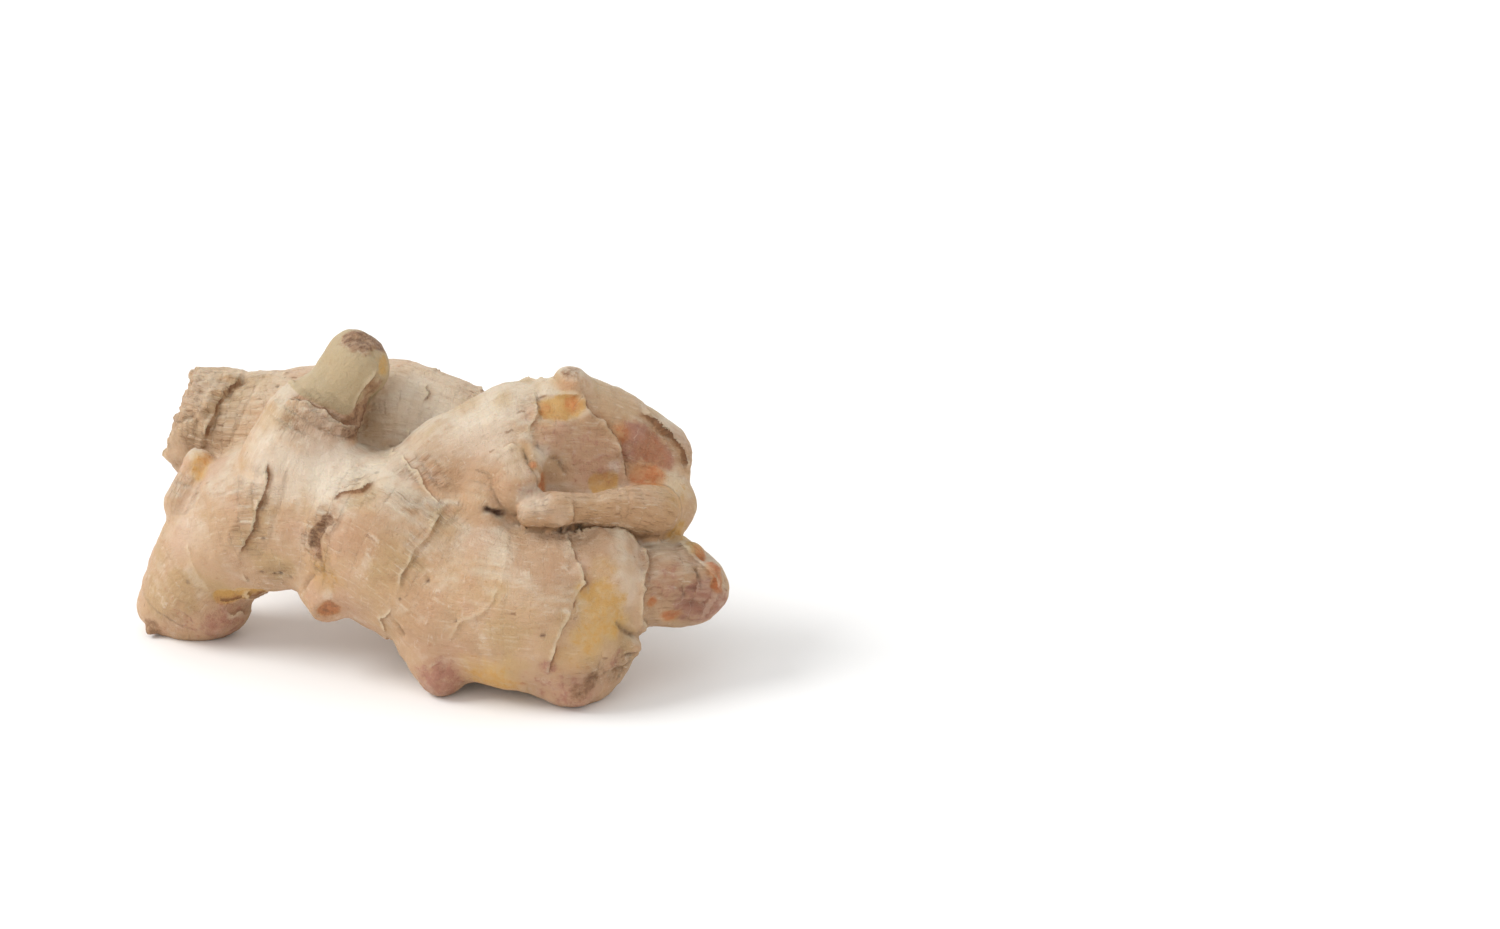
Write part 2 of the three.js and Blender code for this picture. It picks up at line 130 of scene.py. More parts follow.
# Tears: open edges of the skin, along line. On the side that up points to, the skin rises to lip over lead.
# jag is how far the edge strays, and folds how deep the wrinkles are that run up to it. pale and dark are how
# strongly the lip and the line under it are coloured; that line is a painted shadow of the lip.
tears = {
    "tornEdge": {
        "line": [(-35.2, -2.5, 48.5), (-35.9, -4.1, 43), (-37, -4.8, 39.5), (-38.2, -5.5, 36.1),
                 (-38.9, -6.1, 33.7), (-41.3, -6.1, 29.7), (-42.4, -5.4, 26.5)],
        "up": (-0.95, 0.1, 0.2), "lip": 1.3, "lead": 2.6, "jag": 0.9, "folds": 0.5, "pale": 0.7, "dark": 0.9,
    },
    "legLine": {
        "line": [(-54.9, 2.2, 28.1), (-54.3, 0.5, 22.8), (-50.8, 1.3, 16.3), (-49.2, 2.1, 13.5)],
        "up": (-0.9, 0, -0.4), "lip": 0.25, "lead": 1.6, "jag": 0.7, "folds": 0.1, "pale": 0.5, "dark": 0.15,
    },
    "scabCrack": {
        "line": [(-21, -10.7, 42), (-19.3, -9.5, 43.9), (-16.6, -9.4, 44), (-13.9, -10.2, 44.3),
                 (-11.2, -9, 46)],
        "up": (-0.3, 0.6, 0.7), "lip": 0.9, "lead": 2.2, "jag": 0.4, "folds": 0.4, "pale": 0.5, "dark": 1,
    },
    "scabEdge": {
        "line": [(-20.8, -10.7, 42), (-21.9, -12.6, 38.7), (-24.3, -12.2, 36), (-26.1, -12.2, 33.2),
                 (-24.4, -13, 31.2), (-23.4, -13.3, 28.3), (-23, -13.3, 25)],
        "up": (-0.9, 0.2, 0.3), "lip": 0.45, "lead": 1.4, "jag": 1.2, "folds": 0.6, "pale": 0.1, "dark": 0.4,
    },
    "foldedEdge": {
        "line": [(4.4, -14.2, 42), (2.7, -16.1, 40.1), (0.7, -19.1, 37.1), (-2.2, -20.8, 34.7),
                 (-3.2, -22.6, 32), (-5, -23.3, 29.5), (-5.9, -24.1, 26.5)],
        "up": (-0.85, 0.2, 0.3), "lip": 0.8, "lead": 1, "jag": 0.4, "folds": 0.3, "pale": 1, "dark": 0.5,
    },
    "thinLine": {
        "line": [(18.2, -16.2, 37.8), (18, -23.2, 35.2), (16.9, -27.5, 30.2), (15.4, -29.3, 26.1),
                 (12.8, -29.7, 23), (7.7, -29.5, 20.2), (4.5, -28.2, 15)],
        "up": (-0.9, 0, 0.3), "lip": 0.3, "lead": 0.7, "jag": 0.7, "folds": 0.1, "pale": 0.4, "dark": 0.05,
    },
    "lobeEdge": {
        "line": [(30.8, -16.7, 38), (31.2, -20, 35.6), (33.9, -24.2, 33.3), (35.2, -26.3, 28.8),
                 (33.6, -29.6, 26.9), (31.9, -31.7, 23.6), (29.8, -32.9, 19.7), (27.8, -32.6, 14.5),
                 (26.8, -31.5, 9.5)],
        "up": (-0.95, 0, 0.2), "lip": 0.8, "lead": 1.6, "jag": 0.7, "folds": 0.15, "pale": 0.8, "dark": 0.7,
    },
    "neckEdge": {
        "line": [(46.5, -10.5, 32.5), (48.6, -14.4, 31), (48.1, -18.3, 29.3), (47.7, -21.2, 25.1),
                 (47, -21.9, 21.5), (48, -20, 15.7), (48, -17.5, 13)],
        "up": (-1, 0, 0), "lip": 0.7, "lead": 1.3, "jag": 1.3, "folds": 0.5, "pale": 0.6, "dark": 0.5,
    },
    "branchEdge": {
        "line": [(23, 1, 63.3), (23.9, -4.2, 60.2), (22.4, -6.7, 57.2), (23.3, -8.3, 54.1)],
        "up": (-1, 0, 0), "lip": 0.7, "lead": 1.4, "jag": 0.8, "folds": 0.3, "pale": 0.7, "dark": 0.5,
    },
    "plateEdge": {
        "line": [(33.5, 1.5, 62.6), (35.9, -2, 59.4), (39.4, -2.4, 56.4), (42.2, -2.4, 52.9),
                 (42.6, -3.4, 50.4), (43.2, -3, 46.8), (43.4, -3.2, 43.4)],
        "up": (-0.8, -0.5, -0.2), "lip": 1.2, "lead": 1.6, "jag": 0.8, "folds": 0.2, "pale": 0.5, "dark": 0.9,
    },
    "tipPeel": {
        "line": [(46.2, 4.2, 57.5), (50.6, 3.7, 54.2), (54.1, 5, 50.2), (56, 5.9, 47.1), (56.5, 4.6, 43.5)],
        "up": (0.7, 0.3, 0.7), "lip": 1.6, "lead": 1.4, "jag": 0.9, "folds": 0.4, "pale": 0.6, "dark": 1,
    },
    "knobCurl": {
        "line": [(17, -11.2, 52.6), (17.3, -8.6, 53.5), (18.8, -8.3, 54.1), (20.4, -9.7, 53.4)],
        "up": (0.1, -0.6, -0.8), "lip": 0.7, "lead": 1, "jag": 0.2, "folds": 0, "pale": 0.6, "dark": 0.4,
    },
    "tongueBreak": {
        "line": [(32, -16.6, 44.4), (31.8, -18, 41.9), (32.1, -16.5, 38.4)],
        "up": (-1, 0, 0), "lip": 0.6, "lead": 1, "jag": 0.6, "folds": 0.4, "pale": 0.5, "dark": 0.5,
    },
    "lobeTop": {
        "line": [(31, -17.2, 37.5), (34, -15.4, 36.6), (36.7, -14, 35.6), (39.8, -13.6, 35.3),
                 (42.5, -13, 34.6), (44.8, -12.6, 33.4), (46.6, -12.4, 32.2)],
        "up": (0, -0.85, -0.5), "lip": 1.4, "lead": 2.4, "jag": 0.3, "folds": 0.2, "pale": 0.9, "dark": 0.1,
    },
    "collar": {
        "line": [(-31.5, 4.5, 59), (-29.9, 3.1, 59.5), (-27.2, 2.6, 59.3), (-25, 2.4, 58.6),
                 (-23.5, 2.3, 58.2), (-21.3, 2, 56), (-19.5, 3, 54.4), (-17.4, 5.6, 54)],
        "up": (-0.3, -0.5, -0.8), "lip": 1.3, "lead": 2, "jag": 0.8, "folds": 0.5, "pale": 0.5, "dark": 0.9,
    },
    "shootRidge": {
        "line": [(-12.6, 8.2, 66.5), (-14.9, 6.2, 63.4), (-16.4, 5.7, 60), (-17.4, 5.7, 57)],
        "up": (-0.5, -0.8, 0), "lip": 0.7, "lead": 1.2, "jag": 0.3, "folds": 0, "pale": 0.9, "dark": 0.6,
    },
    "oldEdge": {
        "line": [(-45.3, 33, 56.6), (-45.9, 30.7, 56.3), (-48, 27.4, 54.3), (-49.9, 24.2, 52.5),
                 (-51, 22.6, 49.5), (-52.5, 21.3, 47.3), (-53.5, 22.3, 44.4)],
        "up": (-0.9, 0, 0.3), "lip": 2, "lead": 4.5, "jag": 0.8, "folds": 0.6, "pale": 0.5, "dark": 0.8,
    },
    "legTorn": {
        "line": [(-60.4, 4.8, 13.4), (-58.2, 4.1, 10.8), (-56, 4.1, 9.8), (-54.7, 5.8, 5.7),
                 (-52.3, 7.2, 2.9)],
        "up": (0.5, 0, 0.85), "lip": 0.3, "lead": 1.4, "jag": 0.9, "folds": 0.2, "pale": 0.15, "dark": 0.4,
    },
    "grazeTop": {
        "line": [(-49, 2.6, 15.4), (-45.7, 2.6, 15.6), (-41, 2.2, 16.3), (-37.5, 1.9, 17.4)],
        "up": (0, -0.3, 1), "lip": 0.5, "lead": 1.2, "jag": 0.3, "folds": 0, "pale": 0.4, "dark": 0.5,
    },
    "grazeFoot": {
        "line": [(-49.5, 4, 12), (-45.7, 4.1, 11.3), (-41.5, 4.6, 11.8), (-37.4, 3.6, 13.8)],
        "up": (0, 0.3, -1), "lip": 0.4, "lead": 1, "jag": 0.2, "folds": 0, "pale": 0, "dark": 1,
    },
    "budLedge": {
        "line": [(27.2, -0.2, 63), (30.7, -0.3, 63), (33.9, 0.8, 62.6)],
        "up": (0, 0.3, 1), "lip": 0.6, "lead": 1, "jag": 0.3, "folds": 0, "pale": 0.9, "dark": 0.5,
    },
    "bulbRim": {
        "line": [(53.5, -7, 30.8), (58.6, -12.2, 28.4), (61.8, -13.4, 25), (63.3, -12.9, 21)],
        "up": (0.5, 0.5, 0.7), "lip": 0.6, "lead": 1.2, "jag": 0.7, "folds": 0.2, "pale": 0.6, "dark": 0.4,
    },
}

# Cracks and folds across the skin: depth and half width; a depth below zero makes a ridge.
creases = {
    "pocket": {
        "line": [(13.3, -15.2, 41.6), (15.2, -15, 40.8), (17.3, -14.9, 40.1), (19.3, -15.5, 39.4)],
        "depth": 2.2, "width": 0.8,
    },
    "hole": {"line": [(-6.2, -21.3, 17), (-5.2, -21.8, 14.8)], "depth": 1.3, "width": 0.7},
    "knobFold": {
        "line": [(21.6, -9.3, 53), (22.8, -11.4, 50.3), (24.5, -12.8, 48.5), (25, -13.8, 46.6)],
        "depth": 1, "width": 0.6,
    },
    "foldRidge": {
        "line": [(21.5, -8, 55), (24, -9, 51.8), (26.4, -9.5, 49.8), (27.8, -9.4, 47.8)],
        "depth": -1.3, "width": 1.4,
    },
    "branchFold": {
        "line": [(24.2, -7.8, 53.6), (26.2, -7, 51), (28.6, -6.4, 49.2), (30, -6.1, 46.6)],
        "depth": 0.9, "width": 0.6,
    },
    "notch": {
        "line": [(41.9, -26.2, 19.3), (43.4, -24.6, 17.4), (44.8, -22.6, 15.2), (46, -19.5, 14)],
        "depth": 1.6, "width": 0.8,
    },
    "notchFoot": {"line": [(41.7, -26.7, 17.4), (43.1, -24.9, 14.5)], "depth": 0.6, "width": 0.5},
    "lobeCrack": {
        "line": [(37.4, -29.7, 7.4), (39.5, -28.1, 7.6), (41.8, -25.5, 7.5), (43.5, -23.8, 7.7)],
        "depth": 1, "width": 0.5,
    },
    "lobeSplit": {
        "line": [(40.6, -27.4, 12.6), (43.2, -25, 11.4), (45.6, -22.4, 11.2)],
        "depth": 1.1, "width": 0.6,
    },
    "lobeFold": {
        "line": [(36.4, -30.2, 11.6), (39.6, -28.2, 9.9), (43.4, -24.8, 9.4)],
        "depth": -0.8, "width": 0.9,
    },
    "bulbFoldA": {
        "line": [(52.6, -15.6, 28.2), (55.4, -17.1, 25.4), (56.2, -18, 22.4)],
        "depth": 0.7, "width": 0.6,
    },
    "bulbFoldB": {
        "line": [(57, -12.4, 28.6), (59.4, -15, 25.2), (60.6, -16.2, 21.6)],
        "depth": 0.8, "width": 0.6,
    },
    "lobeScar": {
        "line": [(33.5, -30.5, 5), (34.5, -30.6, 7), (36, -30.4, 8.2)],
        "depth": 0.7, "width": 0.6,
    },
    "budCrease": {
        "line": [(-28.3, -9.9, 20.5), (-27.2, -10.4, 22.7), (-25.5, -11.3, 24.2)],
        "depth": 0.7, "width": 0.5,
    },
    "capFoldA": {"line": [(-53.9, 31, 55.7), (-56.5, 30.5, 55), (-60, 33, 54)], "depth": 0.9, "width": 0.8},
    "capFoldB": {
        "line": [(-53.4, 27.2, 53.6), (-56.5, 27.7, 52.7), (-60, 29, 51.2)],
        "depth": 1.1, "width": 0.8,
    },
    "capFoldC": {
        "line": [(-54, 25.9, 52.4), (-57.7, 26.5, 50), (-60.5, 27.5, 48.5)],
        "depth": 0.8, "width": 0.7,
    },
    "capFoldD": {
        "line": [(-55, 24, 49.5), (-57.4, 24.2, 48.2), (-60.5, 25.2, 46.5)],
        "depth": 1, "width": 0.8,
    },
    "shootHole": {"line": [(-15.4, 10, 70.6), (-14.6, 10.6, 70.4)], "depth": 1, "width": 0.8},
    "shootPit": {"line": [(-12.6, 12, 69.2), (-12, 12.8, 68.4)], "depth": 1.5, "width": 0.9},
}
# x, y, z, radius and strength of places that dried into fine criss-cross wrinkles
wrinkled = [
    (-2, -11, 46, 8, 1.2), (3, -14.2, 42.4, 5, 1.2), (-38, -3, 43, 4, 0.8), (-16, -7.5, 46.8, 5, 0.6),
    (-40.5, -2.5, 41, 5, 0.7), (-29, 1, 56, 5, 0.9), (-18, 8, 50, 7, 0.7), (-24.5, -12.6, 33, 5, 0.9),
    (-33, -6, 22.6, 5, 0.8), (47.8, -16, 28, 6, 0.6), (31, -17, 36, 4, 0.6), (46.5, 0, 47, 7, 0.7),
    (29, -5, 56, 6, 0.4), (57, -14, 24, 10, 1.3), (35, -30, 8, 6, 0.9), (42, -25, 9, 5, 0.9),
    (25, -16.5, 42, 6, 1), (-57, 8, 6, 8, 0.3), (26, -8, 50, 6, 0.4), (-55.5, 10, 35.5, 5, 0.9),
]
# x, y, z, radius and height of single bumps and dents
bumps = [
    (-15.6, 9, 56.4, 2.4, 1.2), (-16.8, 6.5, 54.6, 2.6, 1.7), (-18, 4, 52.6, 2.2, 1.5),
    (-65.8, 12.3, 1.8, 1.3, 2), (55.4, -4.6, 30.4, 2.6, 1.7), (58.6, -8.2, 29.6, 2.2, 1.3),
    (62, -11.8, 25.6, 2.6, 1.7), (60.2, -10, 28.2, 1.4, -1.3), (56.9, -6, 31, 1.2, -1),
    (63, -10.5, 22.4, 1.4, -0.9), (63.5, -9, 19.5, 2.6, 1.1), (56, -15.6, 26.6, 2.4, 0.9),
    (53.4, -12.5, 29.8, 1.3, -0.8), (27.5, -9.3, 45.4, 1.8, -0.8), (54.5, -17.5, 24, 3, 0.7),
    (58, -17, 20, 3, -0.6), (62.5, -12, 20.5, 3, 0.8), (52.5, -14.5, 30, 2.6, 0.5), (45, -22.6, 12, 2.6, 2),
    (37, -14.2, 35.6, 3, 0.6), (42.5, -13.2, 34.4, 3, 0.8), (33, -30.5, 4, 4, 1.4),
    (40.5, -27.6, 7, 5, -1.7), (43.6, -25.2, 15.8, 2, -1.2), (-53.2, 14.5, 42, 2.6, 0.9),
    (4, -26.5, 4.5, 3, 0.4), (38.5, -27.5, 28, 7, -0.6), (44.5, -22.5, 27, 4, 0.5), (36, -2, 53, 8, -0.9),
    (50, 1.5, 49.5, 5, -0.8), (-29.7, 0.6, 56.6, 2.2, -0.5), (-10, -15, 34, 9, -0.7),
    (-30, -6, 33, 8, -0.4), (8, -25, 28, 9, -0.5), (22, -27, 30, 7, -0.4),
]
pits = [
    (-36.7, -6.8, 31.6), (-55.3, 1.9, 17.5), (-11.1, -6.9, 47.1), (-5.2, -23.3, 23.6), (26.1, -32.4, 19.3),
    (-36.7, 24.9, 56.8), (-36, 23.2, 55.5), (6.6, -28.8, 20.8), (0.8, -23.6, 28.4), (-37.5, -4.4, 22.6),
    (-34.6, -5.4, 22.4), (-33.3, -6, 22.8), (-31.4, -7.2, 22),
]

# Wounds: what lies beyond the plane is gone, out to reach; rough and dish shape the face that is left.
wounds = {
    "brokenShoot": {
        "at": (-11.2, 10.6, 69.8), "facing": (0.72, -0.35, 0.6),
        "reach": 10, "rough": 0.8, "dish": 0.6,
    },
    "tornMother": {
        "at": (-60.5, 34, 46), "facing": (-0.93, 0, 0.36),
        "reach": 18, "rough": 1.4, "dish": 0.6,
    },
    "rootScar": {
        "at": (-21.9, -12.2, 16.2), "facing": (0.12, -0.86, -0.5),
        "reach": 5, "rough": 0.3, "dish": 0.5,
    },
}

# Stains, with painted light among the bleached ones and painted shade in the tan ones: x, y, z, radius, how
# soft the rim is, strength, and how much skin is missing there.
stains = {
    "amber": [
        (-46.5, 3.4, 13.8, 3.2, 0.8, 1.3, 0.4), (-43.1, 3.1, 14, 3, 0.8, 1.3, 0.4),
        (-39.6, 3.2, 14.8, 2.6, 1, 1.2, 0.3), (38.1, -23.5, 30.7, 4, 2.5, 0.5, 0),
        (38.6, -26.9, 25.1, 5.5, 3, 0.9, 0), (39.9, -27.5, 20.4, 5, 3, 0.8, 0),
        (36.1, -30.7, 17.4, 5, 3, 0.7, 0), (32.9, -32.2, 13.5, 5, 3.5, 0.5, 0),
        (14.1, -26.3, 7.1, 6.5, 4.5, 0.8, 0), (19.2, -23.1, 4.3, 5.5, 4, 0.6, 0),
        (27, -2.2, 60.8, 3.2, 1.2, 1, 0.3), (29.8, -2, 60.8, 3.2, 1.2, 1, 0.3),
        (32.6, -1.5, 60.8, 2.8, 1.2, 0.9, 0.2), (26, -3, 58, 3.5, 2.5, 0.5, 0),
        (37.6, -5.8, 43.6, 2.4, 0.5, 0.9, 0.3), (40.2, -4.2, 44.2, 2, 0.5, 0.9, 0.3),
        (-11.1, 10.8, 66, 3, 0.9, 0.9, 0.3), (-22.5, -12.8, 27, 6, 4, 0.55, 0),
        (-8, -20.5, 22, 8, 6, 0.3, 0), (8, -27, 30, 9, 7, 0.35, 0), (-47, 2, 20, 5, 4, 0.3, 0),
        (52.2, -2.4, 41, 6, 4, 0.5, 0), (55.2, -4.8, 31.6, 3.2, 1.6, 0.9, 0),
        (58, -8.6, 30.4, 2.8, 1.4, 0.8, 0), (-51.6, 12.6, 40.8, 3.4, 1.8, 0.8, 0),
    ],
    "orange": [
        (59.8, -9.6, 29.2, 2, 1, 0.9, 0.2), (62, -11.8, 26.2, 1.8, 0.8, 1, 0.3),
        (62.8, -12.8, 22.8, 2, 0.7, 1, 0.3), (53, -18.1, 17.6, 2.4, 0.9, 1, 0.3),
        (49.6, -21.2, 22.1, 1.2, 0.5, 1, 0.3), (26.3, -10.5, 45.6, 2.6, 0.8, 1, 0.3),
        (46.3, -2.2, 44.7, 3, 1.5, 0.8, 0.2), (49.5, -1.5, 43.7, 3, 1.5, 0.9, 0.2),
        (43.5, -1.5, 54.5, 2.6, 1.2, 0.7, 0.3), (50, 0.5, 49, 5, 3.5, 0.5, 0),
        (30.9, 1, 65, 2.6, 2, 0.4, 0), (-51.2, 13, 41.6, 2.4, 1.4, 0.5, 0),
        (32.5, -1.4, 61.6, 2.2, 1.2, 0.8, 0), (25.6, -2.6, 60.6, 1.8, 1, 0.7, 0),
        (23.5, -11.2, 50.4, 1.2, 0.6, 0.8, 0), (5.4, -14, 40.2, 1.3, 0.8, 0.35, 0),
        (-21.9, -12.8, 16.8, 2.8, 0.6, 1, 0),
    ],
    "pink": [
        (46.3, 0.2, 53.6, 3.6, 1.2, 0.9, 0.4), (49.5, 0.5, 50.7, 3.8, 1.2, 0.9, 0.4),
        (52.5, 2, 47.7, 3.2, 1.5, 0.8, 0.3), (44.5, -1.5, 49, 2.6, 1.2, 0.7, 0.3),
        (59.5, -16, 20.7, 5, 2, 0.8, 0.2), (56.5, -17.3, 20, 4.5, 2, 0.7, 0.2),
        (61.5, -13.5, 18.5, 4.5, 2, 0.8, 0.2), (52, -18.5, 25, 5.5, 3.5, 0.45, 0),
        (29.1, -6, 54.2, 5, 3, 0.35, 0), (35.5, -5.1, 50.4, 6.5, 3, 0.4, 0), (39, -4.2, 47, 4, 2, 0.4, 0),
        (-47.9, 6.1, 5.6, 7, 4, 0.6, 0), (-56, 5, 5, 7, 5, 0.35, 0), (3, -24.3, 4.4, 5.5, 3, 0.75, 0),
        (32.6, -30.2, 5, 6, 3.5, 0.55, 0), (26, -29.5, 6.5, 5, 4, 0.4, 0),
        (27, -31.8, 11.5, 1.6, 0.9, 0.7, 0), (20.5, -12.5, 47.5, 6, 4, 0.3, 0),
        (40.5, -27, 11, 3, 2, 0.5, 0), (9, 35, 6, 7, 4, 0.5, 0), (-24.5, -12.6, 30.5, 2.2, 1.4, 0.5, 0),
    ],
    "bark": [
        # the second and third darken the skin just below the shoot's collar
        (-64, 38, 46, 8, 4, 0.55, 0), (-29.5, 0.8, 56.8, 3.6, 2.5, 0.45, 0), (-22.5, 1.5, 55, 3, 2, 0.4, 0),
        (-15.6, 11, 71, 3.6, 1.2, 0.9, 0), (-12.6, 12.8, 69.5, 3, 1.2, 0.9, 0),
        (-13.2, 8.4, 61.5, 3.2, 1.4, 0.55, 0.2), (-15.6, 9, 56.6, 3, 1.4, 0.8, 0),
        (-16.8, 6.4, 54.8, 3, 1.2, 0.8, 0), (-18, 4, 52.8, 2.6, 1.2, 0.8, 0),
        (-21.9, -12.8, 16.8, 3, 0.4, 0.45, 0.1), (-22.4, -12.4, 38.4, 1.8, 0.8, 0.9, 0.2),
        (-24.4, -12.3, 35.6, 2.2, 0.9, 1, 0.3), (-25.4, -12.3, 32.8, 1.9, 0.8, 0.8, 0.2),
        (-23.8, -13.1, 29.6, 1.4, 0.7, 0.6, 0.1), (-65.6, 12.3, 2.2, 3, 1.5, 0.7, 0),
        (36, -30, 7.8, 2.4, 1.2, 0.7, 0.3), (33.8, -30.6, 5.6, 2, 1, 0.6, 0.3),
        (42.5, -25, 8, 2, 1.2, 0.4, 0), (31.2, 3.5, 66.8, 2.2, 1.2, 0.5, 0),
    ],
    # bleached: partly paler dry skin, partly painted light on the lit top of the trunk and where the shoot
    # shades the older finger
    "bleachedAndLit": [
        (-24, -4, 47, 9, 8, 0.9, 0), (-13, -7, 47, 5, 3, 0.6, 0), (34, -15.6, 37.2, 2.4, 1.2, 0.2, 0),
        (42, -12.8, 35.4, 2.2, 1.2, 0.3, 0), (44.1, -23.2, 25.9, 4, 2.5, 0.5, 0),
        (12, -6, 57, 8, 5, 0.6, 0), (25.5, -8.5, 51.5, 2.6, 1.4, 0.7, 0),
        (41.2, -3.6, 46.6, 1.6, 0.7, 0.8, 0), (-55, 4, 30, 7, 5, 0.4, 0), (-28, 3, 53, 6, 4, 0.5, 0),
        (-34, -1, 47, 8, 8, 0.8, 0), (-21.9, -12.6, 20.4, 1.6, 0.8, 0.6, 0), (-2, 13, 54, 10, 6, 0.7, 0),
        (24, -17, 43.5, 4, 2, 0.6, 0), (29, -18, 42, 3, 2, 0.4, 0),
    ],
    # tan: painted shade, darker tan in hollows and under overhangs such as the tongue
    "tanAndShade": [
        (-12, -15, 36, 7, 4, 0.8, 0), (6, -20, 35, 9, 6, 0.5, 0), (6, -4, 48, 9, 6, 0.6, 0),
        (36, -18, 33.5, 6, 4, 0.9, 0), (24, -19, 36, 7, 5, 0.7, 0), (16, -6, 52, 6, 4, 0.6, 0),
        (20, -10, 50, 7, 4, 0.4, 0), (38, 0, 57, 8, 5, 0.6, 0), (52, -14, 27, 6, 4, 0.7, 0),
        (0, -2, 46.5, 5, 3, 0.5, 0), (44, 5, 57, 9, 5, 0.5, 0), (26.4, -24, 34, 8, 5, 0.9, 0),
        (10, -8.9, 50, 7, 5, 1, 0), (-2, -24, 21, 9, 6, 0.6, 0), (18, -14, 47, 5, 3, 0.5, 0),
    ],
}


def hexColour(code):
    # sRGB hex to the linear values that a shader takes
    parts = [int(code[i:i + 2], 16) / 255 for i in (1, 3, 5)]
    return [c / 12.92 if c <= 0.04045 else ((c + 0.055) / 1.055) ** 2.4 for c in parts] + [1.0]


def smoothStep(low, high, value):
    t = np.clip((value - low) / (high - low), 0, 1)
    return t * t * (3 - 2 * t)


def noiseAt(points, size, seed):
    # one noise value, about -1 to 1, for each point; size is that of its lumps in mm
    shift = Vector((seed * 17.3, seed * 7.7, seed * 3.1))
    return np.array([noise.noise(Vector(p) / size + shift) for p in points.tolist()])


def unit(direction):
    return np.array(direction, float) / np.linalg.norm(direction)


# The fingers as samples along their spines
def spineSamples(beads, step=2.2):
    # a Catmull-Rom curve through the beads, radius included
    beads = np.array(beads, float)
    ends = np.vstack((2 * beads[0] - beads[1], beads, 2 * beads[-1] - beads[-2]))
    length = np.linalg.norm(np.diff(beads[:, :3], axis=0), axis=1).sum()
    count = max(2, math.ceil(length / step))
    samples = []
    for at in np.linspace(0, len(beads) - 1, count + 1):
        i = min(int(at), len(beads) - 2)
        t = at - i
        a, b, c, d = ends[i:i + 4]
        samples.append(0.5 * (2 * b + (c - a) * t + (2 * a - 5 * b + 4 * c - d) * t * t
                              + (3 * b - a - 3 * c + d) * t ** 3))
    return np.array(samples)


def sideAxes(direction):
    # two directions across a spine, the same way up for all of them
    helper = np.array((0.2, 0.3, 1.0)) if abs(direction[2]) < 0.9 else np.array((1.0, 0.2, 0.0))
    across = unit(np.cross(helper, direction))
    return across, np.cross(direction, across)


def fingerDistance(points, samples):
    # distance to a finger's skin, and the place in its own growth: along it, and across it twice
    nearest = np.full(len(points), np.inf)
    growth = np.zeros((len(points), 3))
    along = 0.0
    for a, b in zip(samples[:-1], samples[1:]):
        span = b[:3] - a[:3]
        length = np.linalg.norm(span)
        toPoint = points - a[:3]
        share = np.clip(toPoint @ span / length ** 2, 0, 1)
        offset = toPoint - share[:, None] * span
        gap = np.linalg.norm(offset, axis=1) - (a[3] + share * (b[3] - a[3]))
        closer = gap < nearest
        nearest[closer] = gap[closer]
        across, up = sideAxes(span / length)
        growth[closer, 0] = along + share[closer] * length
        growth[closer, 1] = toPoint[closer] @ across
        growth[closer, 2] = toPoint[closer] @ up
        along += length
    return nearest, growth


grown = {name: spineSamples(finger["beads"]) for name, finger in fingers.items()}
fingerNames = list(grown)
lumpHeight = 0.7
lumpWaves = [(0.24, 0.06, 0.15), (-0.09, 0.27, 0.11), (0.14, -0.13, 0.26), (0.37, 0.33, -0.22)]


def woundDepth(points, wound):
    # how far a point is beyond a wound's uneven face; far below zero outside its reach
    toPoint = points - np.array(wound["at"], float)
    facing = unit(wound["facing"])
    beyond = toPoint @ facing
    aside = np.linalg.norm(toPoint - beyond[:, None] * facing, axis=1)
    near = (aside < wound["reach"]) & (beyond > -4)
    face = np.full(len(points), -99.0)
    spots = points[near]
    dish = wound["dish"] * (1 - (aside[near] / (0.7 * wound["reach"])) ** 2)
    uneven = noiseAt(spots, 3.5, 3) + 0.5 * noiseAt(spots, 1.4, 4)
    face[near] = beyond[near] + dish + wound["rough"] * uneven
    return face


def skinDistance(points):
    # signed distance to the smooth skin, each finger's own distance, and the growth of the nearest finger
    distance = None
    gaps = []
    growth = np.zeros((len(points), 3))
    nearest = np.full(len(points), np.inf)
    for name, samples in grown.items():
        gap, place = fingerDistance(points, samples)
        gaps.append(gap)
        growth[gap < nearest] = place[gap < nearest]
        nearest = np.minimum(nearest, gap)
        if distance is None:
            distance = gap.copy()
            continue
        width = fingers[name]["blend"]
        overlap = np.clip(width - np.abs(distance - gap), 0, None) / width
        distance = np.minimum(distance, gap) - overlap ** 2 * width / 4
    for wave in lumpWaves:
        distance -= lumpHeight / len(lumpWaves) * np.sin(points @ np.array(wave))
    for wound in wounds.values():
        distance = np.maximum(distance, woundDepth(points, wound))
    return np.maximum(distance, -points[:, 2]), np.array(gaps) - nearest, growth


# The skin's mesh, with lengths in mm. scarReach is a share of the finger's radius, and easeSteps has a number
# for each round.
skin = {
    "fineness": 0.65, "quickFineness": 0.85, "easeSteps": (9, 8, 6, 3, 1), "largestMove": 0.9,
    "pinchDepth": 0.7, "pinchWidth": 5.0, "scarWobble": 0.9, "scarReach": 1.7, "scarLead": 1.6,
    "deepest": -3.0, "highest": 2.0, "largestSlide": 0.6,
}
# Noise by name: the size of its lumps, its seed, and how growth is stretched for what follows a finger.
waves = {
    "broad": (11, 1, None), "medium": (4.5, 2, None), "fine": (1.8, 5, None),
    "jag": (3.6, 7, None), "fineJag": (1.2, 8, None), "fray": (2.6, 13, None),
    "scarGap": (7, 12, None), "lineGap": (2.9, 14, None),
    "streak": (1.1, 6, (0.16, 1, 1)), "wideStreak": (2.6, 16, (0.2, 1, 1)),
    "ridge": (1.9, 21, (0.45, 1, 1)), "crossRidge": (2.3, 22, (1, 0.55, 0.55)),
}
